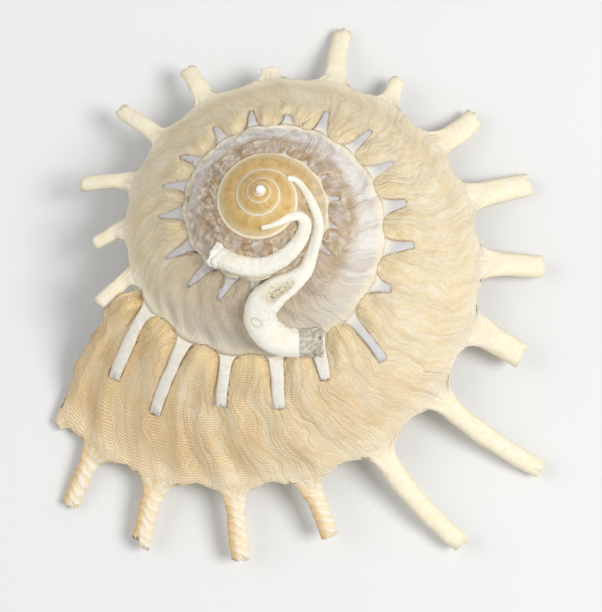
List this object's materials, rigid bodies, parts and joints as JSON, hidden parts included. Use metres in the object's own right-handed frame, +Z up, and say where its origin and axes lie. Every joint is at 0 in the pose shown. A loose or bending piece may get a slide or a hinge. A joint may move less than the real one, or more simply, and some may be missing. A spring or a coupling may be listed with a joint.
{
  "type": "sunburst carrier shell",
  "caption": "Sunburst carrier shell resting mouth down, its flange drawn out into long hollow spines, with two limy worm tubes grown on the spire.",
  "frame": {"origin": "centre of the footprint, on the plane the shell rests on", "axes": "+Z up through the apex side, +Y towards the tallest spine at the back, the long way of the shell; +X to the right of it"},
  "size_m": [0.1026, 0.113, 0.0449],
  "materials": {
    "shell": "matt to satin cream and tan shell with fine growth threads",
    "worm_tube": "chalky white lime"
  },
  "bodies": {
    "root": {"shell": "shell", "worm_tube_long": "worm_tube", "worm_tube_short": "worm_tube"}
  },
  "joints": []
}
